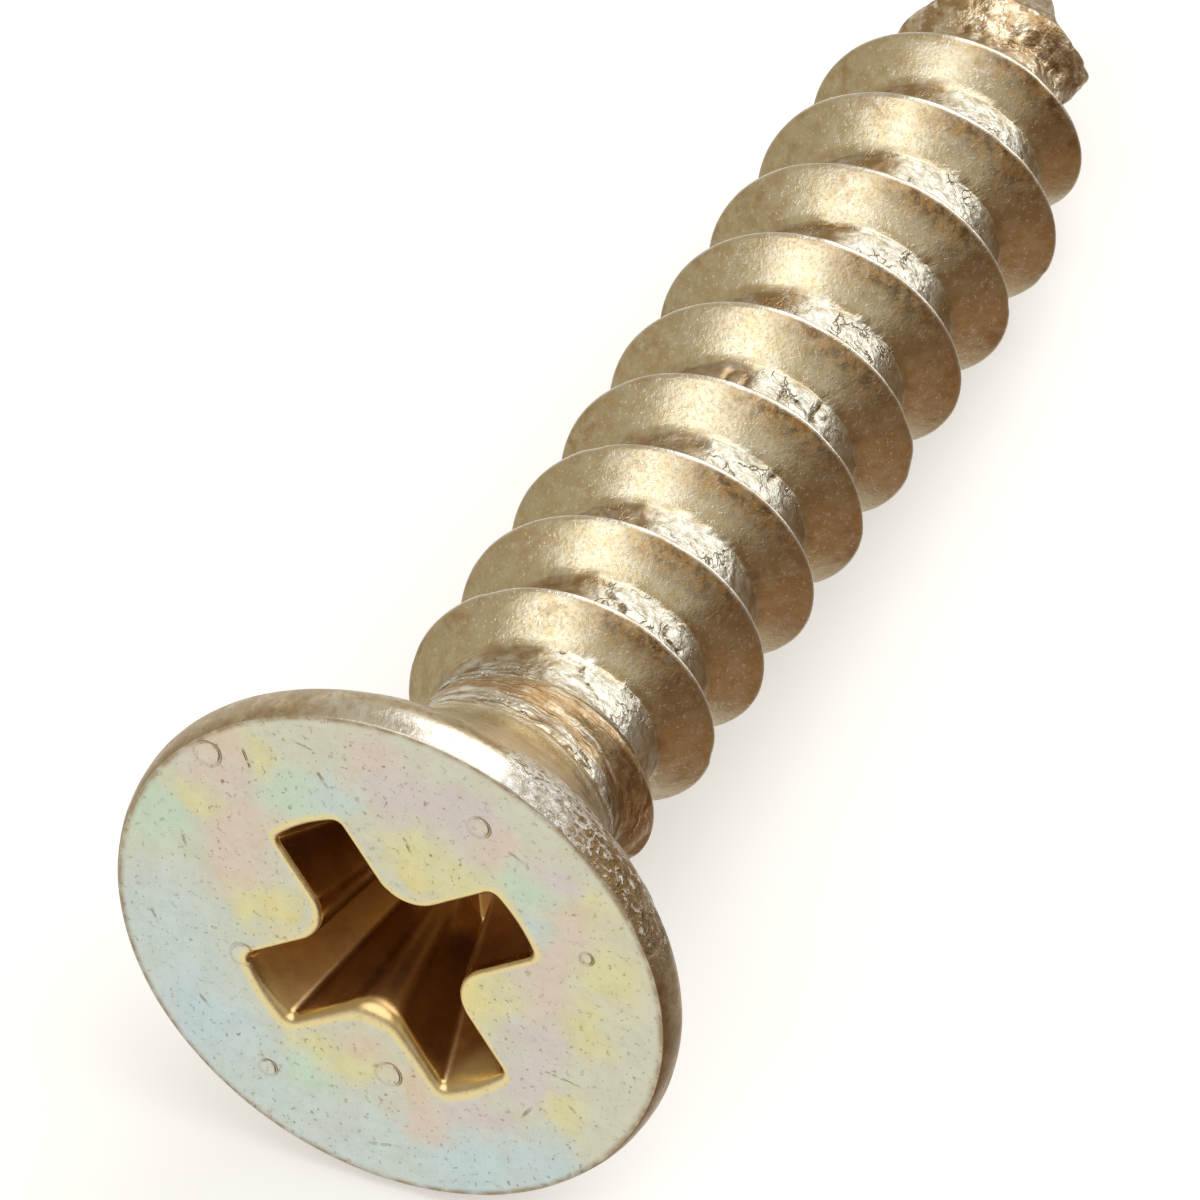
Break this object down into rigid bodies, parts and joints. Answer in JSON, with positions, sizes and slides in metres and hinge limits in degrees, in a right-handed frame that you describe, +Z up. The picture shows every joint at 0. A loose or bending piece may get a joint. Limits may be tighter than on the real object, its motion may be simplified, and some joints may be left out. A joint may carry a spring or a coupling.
{
  "type": "wood screw",
  "caption": "Countersunk flat-head wood screw with a cross recess, full-length right-hand thread and gimlet point, yellow-passivated steel.",
  "frame": {"origin": "centre of the head's flat outer face, on the screw's axis", "axes": "+Y along the screw's axis from the head to the point, +Z up, +X to the right seen from the head; the screw lies on its side"},
  "size_m": [0.0082, 0.0222, 0.0082],
  "materials": {
    "yellow_zinc_steel": "zinc plated and yellow passivated, satin head face with pale iridescent patches, golden tan thread, dull grey rough thread root"
  },
  "bodies": {
    "root": {"wood_screw": "yellow_zinc_steel"}
  },
  "joints": []
}
